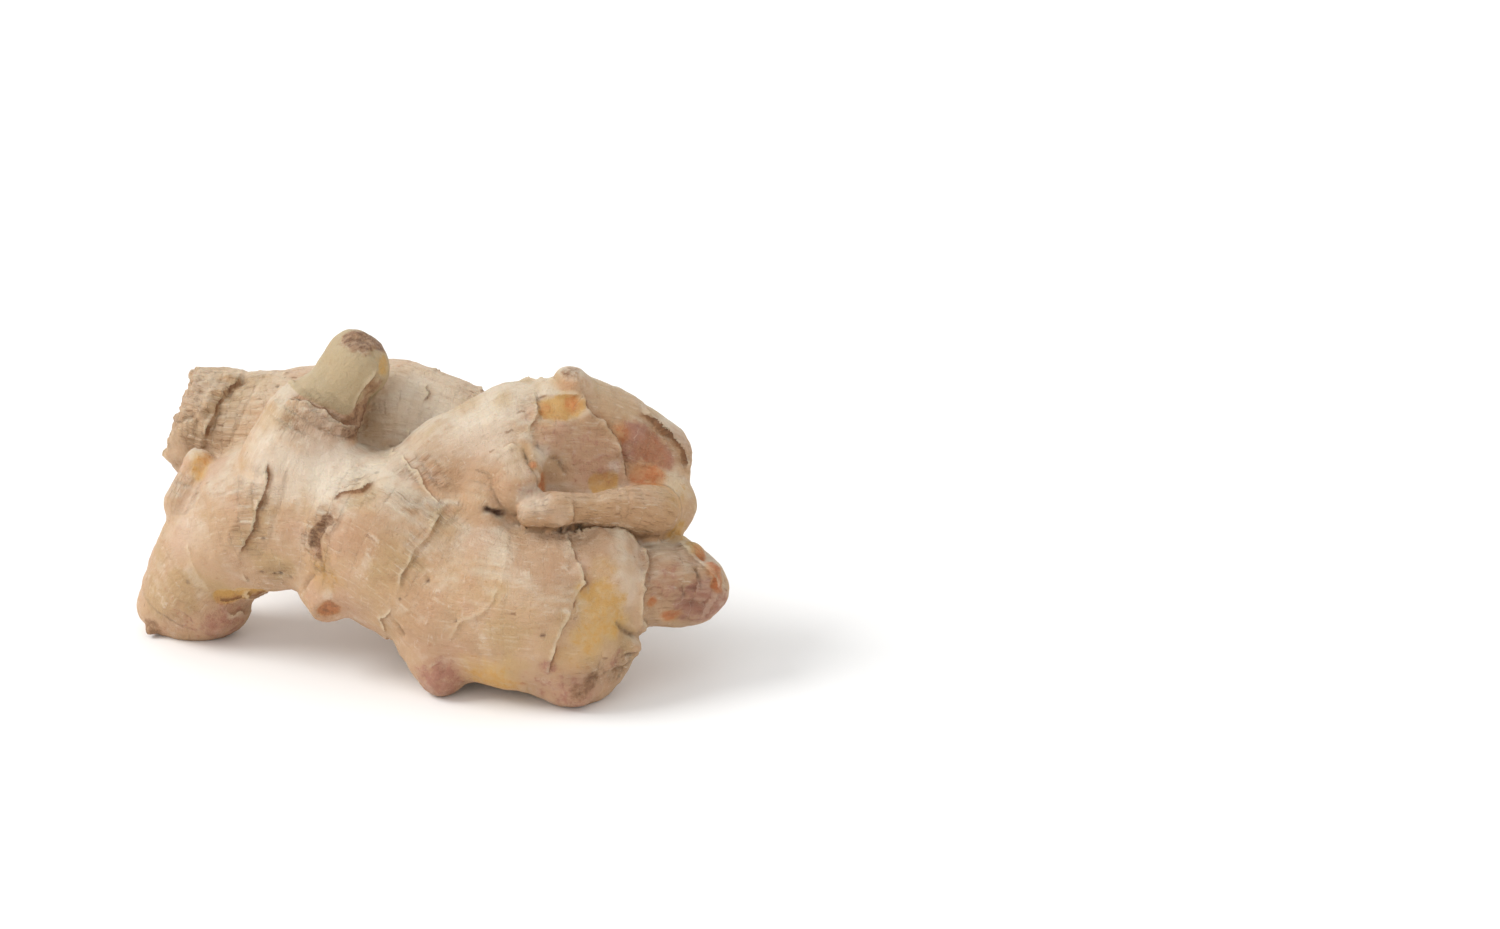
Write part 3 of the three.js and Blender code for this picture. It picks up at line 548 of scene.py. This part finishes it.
# How high each noise stands, by place.
heights = {
    "everywhere": {"broad": 0.45, "medium": 0.28, "fine": 0.12, "streak": 0.06, "wideStreak": 0.1},
    "wrinkled": {"ridge": 0.2, "crossRidge": 0.16},
    "mother": {"streak": 0.12, "wideStreak": 0.18},
    "tornCap": {"wideStreak": 0.5},
    "tongue": {"streak": 0.22, "wideStreak": 0.2},
    "scabbed": {"medium": 0.2, "fine": 0.25, "ridge": 0.2},
}


def copyOfNode(name, pieceName):
    bpy.ops.object.select_all(action="DESELECT")
    piece = bpy.data.objects.new(pieceName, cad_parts[name].data.copy())
    bpy.context.scene.collection.objects.link(piece)
    piece.data.materials.clear()
    bpy.context.view_layer.objects.active = piece
    piece.select_set(True)
    bpy.ops.object.mode_set(mode="EDIT")
    bpy.ops.mesh.select_all(action="SELECT")
    bpy.ops.mesh.remove_doubles(threshold=0.01 * mm)
    bpy.ops.object.mode_set(mode="OBJECT")
    return piece


def readPoints(piece):
    points = np.zeros(len(piece.data.vertices) * 3)
    piece.data.vertices.foreach_get("co", points)
    return points.reshape(-1, 3) / mm + middle


def writePoints(piece, points):
    piece.data.vertices.foreach_set("co", ((points - middle) * mm).ravel())
    piece.data.update()


def readNormals(piece):
    normals = np.zeros(len(piece.data.vertices) * 3)
    piece.data.vertices.foreach_get("normal", normals)
    return normals.reshape(-1, 3)


def store(piece, name, *parts):
    # one part is kept as a number on each vertex, and three as a vector
    kind, key = ("FLOAT", "value") if len(parts) == 1 else ("FLOAT_VECTOR", "vector")
    values = piece.data.attributes.new(name, kind, "POINT")
    values.data.foreach_set(key, np.stack(parts, 1).ravel())


def lineDistance(points, line):
    # distance to an open line, the offset from its nearest point, and how far that is from the nearer end
    line = np.array(line, float)
    lengths = np.linalg.norm(np.diff(line, axis=0), axis=1)
    starts = np.concatenate(([0], np.cumsum(lengths)))
    best = np.full(len(points), np.inf)
    offset = np.zeros((len(points), 3))
    fromEnd = np.zeros(len(points))
    for i, length in enumerate(lengths):
        span = line[i + 1] - line[i]
        share = np.clip((points - line[i]) @ span / length ** 2, 0, 1)
        away = points - line[i] - share[:, None] * span
        gap = np.linalg.norm(away, axis=1)
        closer = gap < best
        best[closer] = gap[closer]
        offset[closer] = away[closer]
        along = starts[i] + share[closer] * length
        fromEnd[closer] = np.minimum(along, starts[-1] - along)
    return best, offset, fromEnd


def settledSkin():
    # an even mesh on the grown skin, with each finger's distance and each vertex's place in its growth
    piece = copyOfNode("rhizome", "gingerSkin")
    remesh = piece.modifiers.new("evenMesh", "REMESH")
    remesh.mode = "VOXEL"
    remesh.voxel_size = skin["fineness"] * mm
    bpy.ops.object.modifier_apply(modifier="evenMesh")
    for steps in skin["easeSteps"]:
        # the mesh is eased out, then each vertex moves along its normal until it lies on the skin
        ease = piece.modifiers.new("ease", "SMOOTH")
        ease.factor = 0.5
        ease.iterations = steps
        bpy.ops.object.modifier_apply(modifier="ease")
        points = readPoints(piece)
        distance, gaps, growth = skinDistance(points)
        move = np.clip(distance, -skin["largestMove"], skin["largestMove"])
        writePoints(piece, points - readNormals(piece) * move[:, None])
    print("skin settled:", len(points), "vertices")
    return piece, gaps, growth


def wavesAt(points, growth, seamless):
    # every noise at each point; what follows growth is calm where fingers meet, because growth jumps there
    wave = {}
    for name, (size, seed, stretch) in waves.items():
        wave[name] = noiseAt(points if stretch is None else growth * stretch, size, seed)
    for name in ("ridge", "crossRidge"):
        wave[name] = 1 - 3 * np.abs(wave[name])  # thin crests
    for name in ("streak", "wideStreak", "ridge", "crossRidge"):
        wave[name] *= seamless
    wave["fray"] = np.clip(0.85 + 1.2 * wave["fray"], 0.35, 1.3)
    wave["scarGap"] = smoothStep(-0.35, 0.15, wave["scarGap"])
    wave["lineGap"] = smoothStep(-0.25, 0.2, wave["lineGap"])
    return wave


def roughness(wave, place):
    return sum(height * wave[name] for name, height in heights[place].items())


def lumpyRelief(points, wave, gapTo):
    # the relief as a set of arrays: uneven lumps, wrinkles that run along each finger, and no edges yet
    onMother = smoothStep(3, 0, gapTo["mother"])
    onTongue = smoothStep(1, 0, gapTo["tongue"])
    tornCap = onMother * smoothStep(-44, -56, points[:, 0])
    wrinkle = np.zeros(len(points))
    for x, y, z, radius, strength in wrinkled:
        away = np.linalg.norm(points - (x, y, z), axis=1) + 1.5 * wave["medium"]
        wrinkle = np.maximum(wrinkle, strength * smoothStep(1.3 * radius, 0.5 * radius, away))
    height = roughness(wave, "everywhere") + wrinkle * roughness(wave, "wrinkled")
    height += onMother * roughness(wave, "mother") + tornCap * roughness(wave, "tornCap")
    height += onTongue * roughness(wave, "tongue")
    folds = np.maximum(np.maximum(0.4 * onMother, onTongue), np.maximum(tornCap, wrinkle))
    relief = {name: np.zeros(len(points)) for name in ("pale", "dark", "creaseShade")}
    relief.update(height=height, folds=folds, onMother=onMother, onTongue=onTongue)
    relief.update(past=np.full(len(points), 3.0), slide=np.zeros((len(points), 3)))
    return relief


def addEdge(relief, wave, across, shows, lip, lead, folds, outwards, frayedSlide):
    # the skin rises to lip over lead, drops steeply past its edge, and has folds that run up to the edge
    rise = np.where(across < 0, np.exp(across / lead), 1 - smoothStep(0, 0.45, across))
    runUp = np.exp(-np.abs(across + 2) / 3) * (across < 0.3)
    tip = np.exp(-np.abs(across + 0.3) / 0.5)
    relief["height"] += shows * wave["fray"] * lip * rise + shows * folds * wave["streak"] * runUp
    relief["slide"] += outwards * (0.4 * frayedSlide * lip * shows * tip)[:, None]


def markEdge(relief, across, shows, pale, dark):
    # the nearest edge gives a point its papery lip and the dark line under it, a painted shadow of the lip
    closer = (np.abs(across) < np.abs(relief["past"])) & (shows > 0.05)
    relief["past"][closer] = across[closer]
    relief["pale"][closer] = (shows * pale)[closer]
    relief["dark"][closer] = (shows * dark)[closer]


def addTears(relief, points, wave):
    # the edges that are drawn one by one; how near each one is goes back, for the leaf scar of its name
    near = {}
    for name, tear in tears.items():
        gap, offset, fromEnd = lineDistance(points, tear["line"])
        up = unit(tear["up"])
        across = -(offset @ up) + tear["jag"] * (0.6 * wave["jag"] + 0.4 * wave["fineJag"])
        shows = 1 - smoothStep(tear["lead"] + 1, tear["lead"] + 3, gap)
        shows = shows * (0.25 + 0.75 * smoothStep(0, 2.5, fromEnd))
        addEdge(relief, wave, across, shows, tear["lip"], tear["lead"], tear["folds"], -up, wave["fray"])
        hollow = np.exp(-((across - 0.8) / 0.7) ** 2)
        relief["height"] -= 0.25 * shows * wave["fray"] * tear["lip"] * hollow
        relief["folds"] = np.maximum(relief["folds"], shows * min(1, 1.6 * tear["folds"]))
        unbroken = max(0.15, 3 * tear["dark"] - 2)  # how much of the dark line shows without a gap
        dark = tear["dark"] * (unbroken + (1 - unbroken) * wave["lineGap"])
        markEdge(relief, across, shows, tear["pale"] * np.clip(wave["fray"], 0, 1), dark)
        near[name] = 1 - smoothStep(3, 9, gap)
    return near


def addScars(relief, points, wave, gapTo, nearTear):
    # the rings of the leaf scars, each in its plane, on the sides that the drawn edges leave
    wobble = skin["scarWobble"] * np.sin(0.42 * points[:, 0] + 0.55 * points[:, 2]) \
        * np.cos(0.47 * points[:, 1] + 0.3 * points[:, 2])
    for name, scar in scars.items():
        at = np.array(scar["at"], float)
        facing = unit(scar["facing"])
        samples = grown[scar["finger"]]
        radius = samples[np.linalg.norm(samples[:, :3] - at, axis=1).argmin(), 3]
        reach = radius * skin["scarReach"]
        past = (points - at) @ facing + wobble
        around = smoothStep(3, 0.5, gapTo[scar["finger"]])
        around = around * (1 - smoothStep(0.75 * reach, reach, np.linalg.norm(points - at, axis=1)))
        relief["height"] -= around * skin["pinchDepth"] * np.exp(-(past / skin["pinchWidth"]) ** 2)
        shows = around * (1 - nearTear.get(name, 0)) * wave["scarGap"]
        across = past + 0.9 * wave["jag"] + 0.4 * wave["fineJag"]
        addEdge(relief, wave, across, shows, scar["lip"], skin["scarLead"], 0.3, facing, 1)
        markEdge(relief, across, shows, 0.7, 0.5)


def addMarks(relief, points, wave):
    # cracks, folds, bumps and pits
    for crease in creases.values():
        gap, _, _ = lineDistance(points, crease["line"])
        dip = np.exp(-((gap + 0.25 * wave["fineJag"]) / crease["width"]) ** 2)
        relief["height"] -= crease["depth"] * dip
        # deeper creases are painted darker: painted shade in them
        darkness = np.clip(0.1 + crease["depth"] / 2.5, 0, 1)
        relief["creaseShade"] = np.maximum(relief["creaseShade"], dip * darkness)
    for x, y, z, radius, rise in bumps:
        relief["height"] += rise * np.exp(-(np.linalg.norm(points - (x, y, z), axis=1) / radius) ** 2)
    for pit in pits:
        away = np.linalg.norm(points - pit, axis=1) + 0.3 * wave["fineJag"]
        dip = np.exp(-(away / 0.7) ** 2)
        relief["height"] -= 0.4 * dip
        # pits are painted dark: partly their own dark specks, partly painted shade
        relief["creaseShade"] = np.maximum(relief["creaseShade"], 0.7 * dip)


def addStains(relief, points, wave):
    # how strong each kind of stain, painted light and painted shade is, with the skin missing from some of
    # them
    weight = {}
    uneven = wave["medium"] + 0.6 * wave["fine"]
    for kind, spots in stains.items():
        weight[kind] = np.zeros(len(points))
        missing = np.zeros(len(points))
        for x, y, z, radius, soft, strength, depth in spots:
            away = np.linalg.norm(points - (x, y, z), axis=1) + (0.6 + 0.4 * soft) * uneven
            inside = smoothStep(-soft, soft, radius - away)
            weight[kind] = np.maximum(weight[kind], inside * strength)
            missing = np.maximum(missing, inside * depth)
        relief["height"] -= missing
    relief["height"] += (weight["bark"] + 0.6 * weight["pink"]) * roughness(wave, "scabbed")
    return weight


def aboveCollar(points):
    # 1 on what stands out of the shoot's collar
    collar = scars["collar"]
    return smoothStep(-0.9, -0.4, (points - np.array(collar["at"])) @ unit(collar["facing"]))


def growSkin():
    piece, gaps, growth = settledSkin()
    points = readPoints(piece)
    gapTo = dict(zip(fingerNames, gaps))
    seamless = smoothStep(0.1, 1.6, np.partition(gaps, 1, axis=0)[1])  # 0 where two fingers meet
    wave = wavesAt(points, growth, seamless)
    relief = lumpyRelief(points, wave, gapTo)
    nearTear = addTears(relief, points, wave)
    addScars(relief, points, wave, gapTo, nearTear)
    addMarks(relief, points, wave)
    weight = addStains(relief, points, wave)

    # the relief moves the skin along its normals, and torn edges a little over their far side
    slide = relief["slide"]
    slide *= np.minimum(1, skin["largestSlide"] / np.maximum(np.linalg.norm(slide, axis=1), 0.01))[:, None]
    height = np.clip(relief["height"], skin["deepest"], skin["highest"])
    points += readNormals(piece) * height[:, None] + slide
    points[:, 2] = np.maximum(points[:, 2], 0.0)
    writePoints(piece, points)

    onShoot = smoothStep(1.5, 0, gapTo["stub"]) * aboveCollar(points) * (1 - weight["bark"])
    # skin that faces up is painted cream: partly dried skin, partly painted top light
    upness = smoothStep(0.15, 0.95, readNormals(piece)[:, 2])
    store(piece, "growth", *growth.T)
    store(piece, "seamless", seamless)
    store(piece, "edge", np.clip(relief["past"], -3, 3), relief["pale"], relief["dark"])
    store(piece, "tint", weight["amber"], weight["pink"], weight["bark"])
    # the first part is the painted shade of creases and pits, then the shoot and fold masks
    store(piece, "wear", relief["creaseShade"], onShoot, relief["folds"])
    store(piece, "dry", upness, weight["orange"], weight["bleachedAndLit"])
    store(piece, "kind", relief["onMother"], relief["onTongue"], weight["tanAndShade"])
    bpy.ops.object.shade_smooth()
    print("skin relief and stains stored")
    return piece


# The skin's material
def addNode(tree, kind, settings=None, inputs=None):
    # a shader node: settings are its own, inputs are by name or number, each a value or (node, output)
    node = tree.nodes.new("ShaderNode" + kind)
    for name, value in (settings or {}).items():
        setattr(node, name, value)
    for name, value in (inputs or {}).items():
        if isinstance(value, tuple) and isinstance(value[0], bpy.types.Node):
            tree.links.new(value[0].outputs[value[1]], node.inputs[name])
        else:
            node.inputs[name].default_value = value
    return node


def masked(tree, source, strength, masks):
    # strength times each mask, a value that runs smoothly from 0 at its low to 1 at its high
    weight = strength
    for name, low, high in masks:
        mask = addNode(tree, "MapRange", {"interpolation_type": "SMOOTHSTEP"},
                       {"Value": source[name], "From Min": low, "From Max": high})
        weight = (addNode(tree, "Math", {"operation": "MULTIPLY"}, {0: (mask, 0), 1: weight}), 0)
    return weight


# the skin's tan, and the cream on its tops that is partly dried skin and partly painted top light
gingerColours = {"tanAndShade": "#c4a07d", "creamAndTopLight": "#d2c2ab"}
# Each layer: its colour, its strength, and the masks that it shows through.
gingerLayers = [
    ("#c3987b", 0.55, [("blotch", 0.5, 0.66)]),  # rosy where the skin is young
    ("#b99868", 0.55, [("blotch", 0.48, 0.34)]),  # yellower where the flesh shines through
    ("#b58c68", 0.75, [("tanAndShade", 0.1, 0.9)]),  # painted shade: darker in the hollows and under overhangs
    ("#b08a68", 0.45, [("mottle", 0.52, 0.72)]),
    ("#dccab2", 0.35, [("mottle", 0.46, 0.30)]),
    ("#b98a60", 0.30, [("freckle", 0.54, 0.72)]),
    ("#e6d9c4", 0.40, [("crossFibre", 0.56, 0.68), ("freckle", 0.45, 0.6)]),  # small dry flakes
    ("#d6b896", 0.45, [("mother", 0.2, 0.9)]),  # paler on the older finger: painted light against the shade that falls on it
    ("#cfa073", 0.55, [("tongue", 0.2, 0.9)]),
    ("#a67a52", 0.28, [("fibre", 0.52, 0.7)]),
    ("#e8d8bf", 0.28, [("fibre", 0.46, 0.30)]),
    ("#8a5f3c", 0.55, [("fibre", 0.52, 0.72), ("folds", 0.1, 1.0)]),
    ("#ecdcc0", 0.35, [("fibre", 0.45, 0.3), ("folds", 0.1, 1.0)]),
    # bleached spots, partly painted light
    ("#ebdfcc", 0.60, [("bleachedAndLit", 0.0, 1.0)]),
    ("#b6a17d", 0.85, [("shoot", 0.2, 0.8)]),  # the shoot's pale green-grey sheath
    ("#d0a95c", 0.45, [("amber", 0.1, 0.9)]),
    ("#c99238", 0.50, [("amberRough", 0.5, 1.0)]),
    ("#b97f69", 0.45, [("pink", 0.0, 0.9)]),
    ("#a5655a", 0.45, [("pinkRough", 0.35, 0.85)]),
    ("#d9b59b", 0.55, [("crossFibre", 0.52, 0.64), ("pink", 0.3, 0.9)]),  # pale veins of dried skin
    ("#cc8a50", 0.60, [("orange", 0.0, 0.9)]),
    ("#bd6433", 0.60, [("orangeRough", 0.45, 1.15)]),
    ("#a17653", 0.70, [("barkRough", 0.2, 0.7)]),
    ("#5f3c24", 0.60, [("barkRough", 0.45, 0.85), ("fibre", 0.42, 0.6)]),
    ("#e8d5b4", 0.65, [("past", -1.0, -0.15), ("past", 0.1, 0.0), ("pale", 0.05, 0.9)]),  # papery lip
    ("#6b4225", 0.85, [("past", -0.02, 0.1), ("past", 0.75, 0.3), ("dark", 0.1, 0.9)]),  # the dark line under it: painted shadow of the lip
    # browner skin past the edge: painted shade under the lip
    ("#b07c50", 0.40, [("past", 0.0, 0.3), ("past", 2.2, 0.6), ("dark", 0.1, 0.9)]),
    # creases and pits painted dark: painted shade, the pits partly their own dark specks
    ("#4a2a17", 0.92, [("creaseShade", 0.15, 0.8)]),
    ("#7d5433", 0.60, [("speck", 0.15, 0.07), ("mottle", 0.53, 0.6)]),
]
# Relief too fine for the mesh, in mm: its source, its height, and its masks.
gingerRelief = [
    ("fibre", 0.35, []), ("fibre", 0.9, [("folds", 0.05, 1.0)]), ("grain", 0.12, []), ("freckle", 0.7, []),
    ("freckle", 0.7, [("bark", 0.1, 0.8)]), ("freckle", 0.6, [("pink", 0.1, 0.8)]), ("crossFibre", 0.22, []),
    ("crossFibre", 0.35, [("folds", 0.05, 1.0)]),
]


def gingerMaterial():
    # Ginger skin, thin dried cork over moist flesh: matt, and cream on top, partly dried skin and partly
    # painted top light, warmer and faintly translucent on its sides, with fine streaks along each finger
    material = bpy.data.materials.new("driedGingerSkin")
    material.use_nodes = True
    tree = material.node_tree
    tree.nodes.clear()
    stored = {
        "edge": ("past", "pale", "dark"), "tint": ("amber", "pink", "bark"),
        "wear": ("creaseShade", "shoot", "folds"), "dry": ("upness", "orange", "bleachedAndLit"),
        "kind": ("mother", "tongue", "tanAndShade"),
    }
    source = {"seamless": (addNode(tree, "Attribute", {"attribute_name": "seamless"}), "Fac")}
    for name, parts in stored.items():
        attribute = addNode(tree, "Attribute", {"attribute_name": name})
        split = addNode(tree, "SeparateXYZ", None, {0: (attribute, "Vector")})
        source.update({part: (split, i) for i, part in enumerate(parts)})
    place = addNode(tree, "TexCoord")
    inMm = addNode(tree, "VectorMath", {"operation": "SCALE"}, {0: (place, "Object"), "Scale": 1000.0})
    growth = addNode(tree, "Attribute", {"attribute_name": "growth"})
    alongFinger, roundFinger = (
        addNode(tree, "VectorMath", {"operation": "MULTIPLY"}, {0: (growth, "Vector"), 1: stretch})
        for stretch in ((0.25, 1.0, 1.0), (1.0, 0.22, 0.22)))
    # lumps per mm, octaves and how strong the small ones are
    noises = {
        "blotch": (inMm, 0.075, 3.0, 0.5), "mottle": (inMm, 0.13, 5.0, 0.6), "freckle": (inMm, 0.6, 6.0, 0.7),
        "grain": (inMm, 2.8, 3.0, 0.6), "fibre": (alongFinger, 1.2, 6.0, 0.65),
        "crossFibre": (roundFinger, 1.1, 4.0, 0.6),
    }
    for name, (space, scale, octaves, small) in noises.items():
        inputs = {"Vector": (space, 0), "Scale": scale, "Detail": octaves, "Roughness": small}
        source[name] = (addNode(tree, "TexNoise", None, inputs), 0)
    for name in ("fibre", "crossFibre"):
        calm = addNode(tree, "Mix", {"data_type": "FLOAT"}, {0: source["seamless"], 2: 0.5, 3: source[name]})
        source[name] = (calm, 0)
    cells = addNode(tree, "TexVoronoi", None, {"Vector": (alongFinger, 0), "Scale": 0.3, "Randomness": 1.0})
    source["speck"] = (cells, 0)

    # Fine noise breaks up the torn edges and the cream on top, which is partly dry skin and partly painted
    # top light. It breaks up the rims of the stains too, which are also kept as they were: the broken ones
    # have Rough at the end of the name.
    broken = {
        "amberRough": ("amber", "freckle", 2.2), "pinkRough": ("pink", "freckle", 2.6),
        "orangeRough": ("orange", "freckle", 2.2), "barkRough": ("bark", "freckle", 1.8),
        "past": ("past", "grain", 0.45), "upness": ("upness", "mottle", 0.9),
    }
    for name, (whole, by, amount) in broken.items():
        centred = {0: source[by], 1: amount, 2: -0.5 * amount}
        wave = addNode(tree, "Math", {"operation": "MULTIPLY_ADD"}, centred)
        source[name] = (addNode(tree, "Math", {"operation": "ADD"}, {0: source[whole], 1: (wave, 0)}), 0)

    # cream where the skin faces up: partly dried skin, partly painted top light
    driedAndLitTops = masked(tree, source, 1.0, [("upness", 0.15, 1.1)])
    colour = addNode(tree, "Mix", {"data_type": "RGBA"},
                     {0: driedAndLitTops, 6: hexColour(gingerColours["tanAndShade"]), 7: hexColour(gingerColours["creamAndTopLight"])})
    for hue, strength, masks in gingerLayers:
        inputs = {0: masked(tree, source, strength, masks), 6: (colour, 2), 7: hexColour(hue)}
        colour = addNode(tree, "Mix", {"data_type": "RGBA"}, inputs)
    relief = 0.0
    for name, height, masks in gingerRelief:
        inputs = {0: source[name], 1: masked(tree, source, height, masks), 2: relief}
        relief = (addNode(tree, "Math", {"operation": "MULTIPLY_ADD"}, inputs), 0)
    bump = addNode(tree, "Bump", None, {"Strength": 1.0, "Distance": 1.0 * mm, "Height": relief})
    sheen = addNode(tree, "MapRange", None, {
        "Value": source["freckle"], "From Min": 0.3, "From Max": 0.7, "To Min": 0.42, "To Max": 0.66})
    surface = addNode(tree, "BsdfPrincipled", None, {
        "Base Color": (colour, 2), "Roughness": (sheen, 0), "IOR": 1.42, "Normal": (bump, 0),
        "Subsurface Weight": 0.1, "Subsurface Radius": (1.0, 0.45, 0.2), "Subsurface Scale": 1.4 * mm,
    })
    addNode(tree, "OutputMaterial", None, {"Surface": (surface, 0)})
    return material


# Floor, light and camera
studio = {
    "floorSize": 12.0, "floorColour": "#f7f7f6", "worldLight": 0.88, "lit": (0, 0, 0.03),
    "keyPlace": (-2.2, -0.1, 2.2), "keySize": 1.8, "keyPower": 57.0,
    "fillPlace": (-1.6, -1.9, 1.2), "fillSize": 1.0, "fillPower": 3.0,
}
camera = {"lens": 85.0, "elevation": 20.0, "distance": 778.8, "aim": (70.4, 0.0, 46.3)}


def addArea(name):
    place, aim = studio[name + "Place"], studio["lit"]
    light = bpy.data.lights.new(name, "AREA")
    light.shape = "DISK"
    light.size = studio[name + "Size"]
    light.energy = studio[name + "Power"]
    lamp = bpy.data.objects.new(name, light)
    bpy.context.scene.collection.objects.link(lamp)
    lamp.location = place
    lamp.rotation_euler = (Vector(aim) - Vector(place)).to_track_quat("-Z", "Y").to_euler()


def setStudio():
    bpy.ops.object.select_all(action="DESELECT")
    bpy.ops.mesh.primitive_plane_add(size=studio["floorSize"], location=(0, 0, 0))
    floor = bpy.context.object
    floor.name = "floor"
    paper = bpy.data.materials.new("mattPaper")
    paper.use_nodes = True
    surface = paper.node_tree.nodes["Principled BSDF"]
    surface.inputs["Base Color"].default_value = hexColour(studio["floorColour"])
    surface.inputs["Roughness"].default_value = 0.9
    floor.data.materials.append(paper)
    world = bpy.data.worlds.new("whiteRoom")
    bpy.context.scene.world = world
    world.use_nodes = True
    sky = world.node_tree.nodes["Background"]
    sky.inputs["Color"].default_value = (1, 1, 1, 1)
    sky.inputs["Strength"].default_value = studio["worldLight"]
    addArea("key")
    addArea("fill")
    bpy.context.scene.view_settings.view_transform = "Standard"  # white paper stays white


def setCamera():
    eye = bpy.data.cameras.new("eye")
    eye.lens = camera["lens"]
    eye.sensor_width = 36.0
    eye.clip_start = 0.01
    eye.clip_end = 50.0
    holder = bpy.data.objects.new("eye", eye)
    bpy.context.scene.collection.objects.link(holder)
    aim = Vector(camera["aim"]) - Vector(middle)
    tilt = math.radians(camera["elevation"])
    away = Vector((0, -math.cos(tilt), math.sin(tilt))) * camera["distance"]
    holder.location = (aim + away) * mm
    holder.rotation_euler = (-away).to_track_quat("-Z", "Y").to_euler()
    bpy.context.scene.camera = holder


rhizome = growSkin()
rhizome.data.materials.append(gingerMaterial())
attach(rhizome, "root")
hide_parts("rhizome")
setStudio()
setCamera()
print("studio and camera set")
